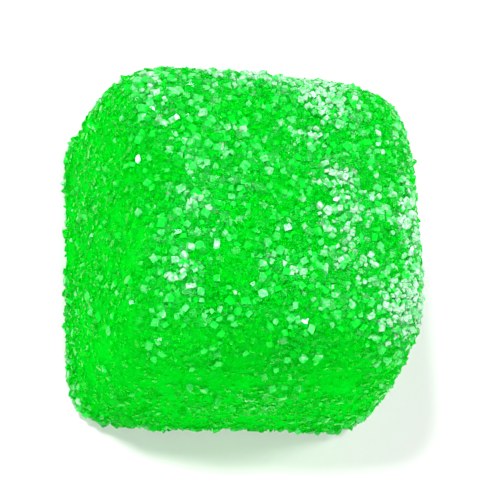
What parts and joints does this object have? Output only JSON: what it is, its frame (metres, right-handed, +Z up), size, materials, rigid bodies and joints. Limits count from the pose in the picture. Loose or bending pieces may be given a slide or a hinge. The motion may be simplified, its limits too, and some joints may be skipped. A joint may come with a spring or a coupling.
{
  "type": "chewy candy",
  "caption": "Square green chewy candy with a flat underside and a rounded, softly crowned top, coated in sugar grains.",
  "frame": {"origin": "middle of the flat face that the candy rests on", "axes": "+Z up through the candy's height, from the flat face to the crowned top; X and Y square to its walls, X across the slightly wider pair"},
  "size_m": [0.0161, 0.0157, 0.0114],
  "materials": {
    "green_gel": "translucent saturated green gel, soft satin sheen",
    "sugar": "clear to white sugar grains with glinting facets, tinted green by the gel under them"
  },
  "bodies": {
    "root": {"candy": "green_gel"}
  },
  "joints": []
}
